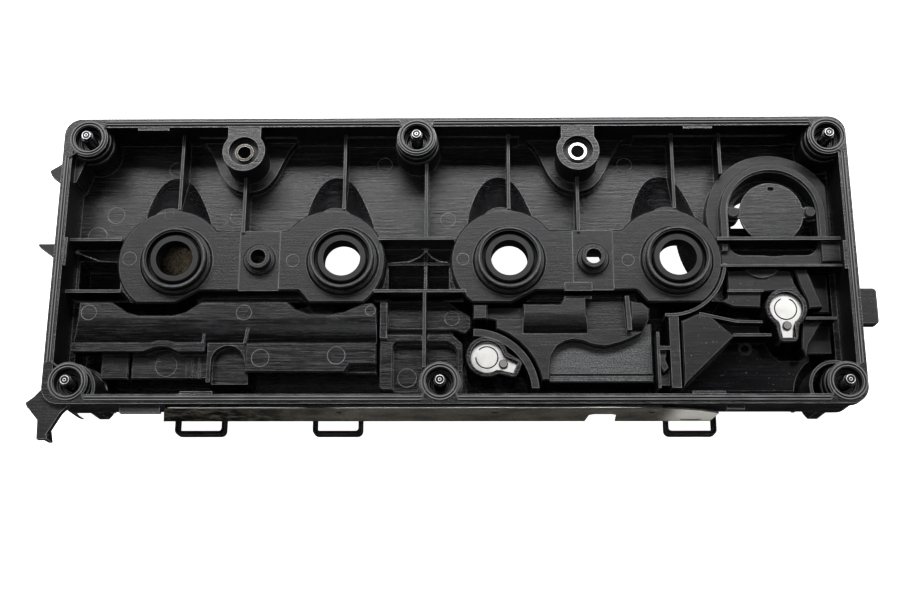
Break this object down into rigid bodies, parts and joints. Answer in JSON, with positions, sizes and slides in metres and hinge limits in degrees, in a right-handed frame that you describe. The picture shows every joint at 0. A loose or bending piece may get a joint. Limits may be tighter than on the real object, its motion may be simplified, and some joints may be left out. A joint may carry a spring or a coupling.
{
  "type": "engine valve cover",
  "caption": "Moulded valve cover for an in-line engine, seen from its open side, with injector seals, oil separator mouldings, profile gasket and captive bolts.",
  "frame": {"origin": "centre of the four corner bolts on the sealing plane", "axes": "+X along the engine towards the oil filler, +Y towards the side with the stud sleeves, +Z out of the open side"},
  "size_m": [0.4354, 0.1734, 0.053],
  "materials": {
    "black_nylon": "moulded glass-filled nylon, satin, fine flow grain",
    "black_nylon_satin": "moulded nylon, satin",
    "black_nylon_gloss": "moulded nylon, smooth and slightly glossy",
    "spring_steel": "thin rolled strip, dull",
    "steel": "turned steel",
    "zinc_steel": "zinc-coated steel",
    "bright_aluminium": "turned aluminium",
    "dull_steel": "pressed sheet with a thin warm-grey coat, scuffed",
    "black_rubber": "moulded rubber",
    "brown_foam": "open-cell sound-damping foam, brown"
  },
  "bodies": {
    "cover": {"cover_shell": "black_nylon", "baffle_left": "black_nylon_satin", "baffle_center": "black_nylon_satin", "baffle_middle": "black_nylon_satin", "baffle_right": "black_nylon_gloss", "drain_tower_left": "black_nylon_satin", "drain_tower_right": "black_nylon_satin", "valve_rivets": "steel", "profile_gasket": "black_rubber", "injector_seals": "black_rubber", "clamp_bolt_seals": "black_rubber", "stud_sleeves": "bright_aluminium", "bolt_sleeves": "steel", "bolt_grommets": "black_rubber", "captive_bolts": "zinc_steel", "filler_splash_plate": "black_nylon_satin", "heat_shield_rail": "dull_steel", "well_foam": "brown_foam", "regulator_cap": "black_nylon", "regulator_diaphragm": "black_rubber", "regulator_spring": "spring_steel"},
    "reed_left": {"reed_left": "spring_steel"},
    "reed_right": {"reed_right": "spring_steel"}
  },
  "joints": [
    {"name": "reed_left_lift", "type": "hinge", "parent": "cover", "child": "reed_left", "pos_m": [0.02437, -0.05489, -0.0125], "axis": [0.3907, 0.9205, 0], "range_deg": [0, 6], "stiffness_Nm_per_rad": 0.05, "springref_deg": -2.86},
    {"name": "reed_right_lift", "type": "hinge", "parent": "cover", "child": "reed_right", "pos_m": [0.1713, -0.0347, -0.0125], "axis": [1, 0, 0], "range_deg": [0, 6], "stiffness_Nm_per_rad": 0.05, "springref_deg": -2.86}
  ]
}
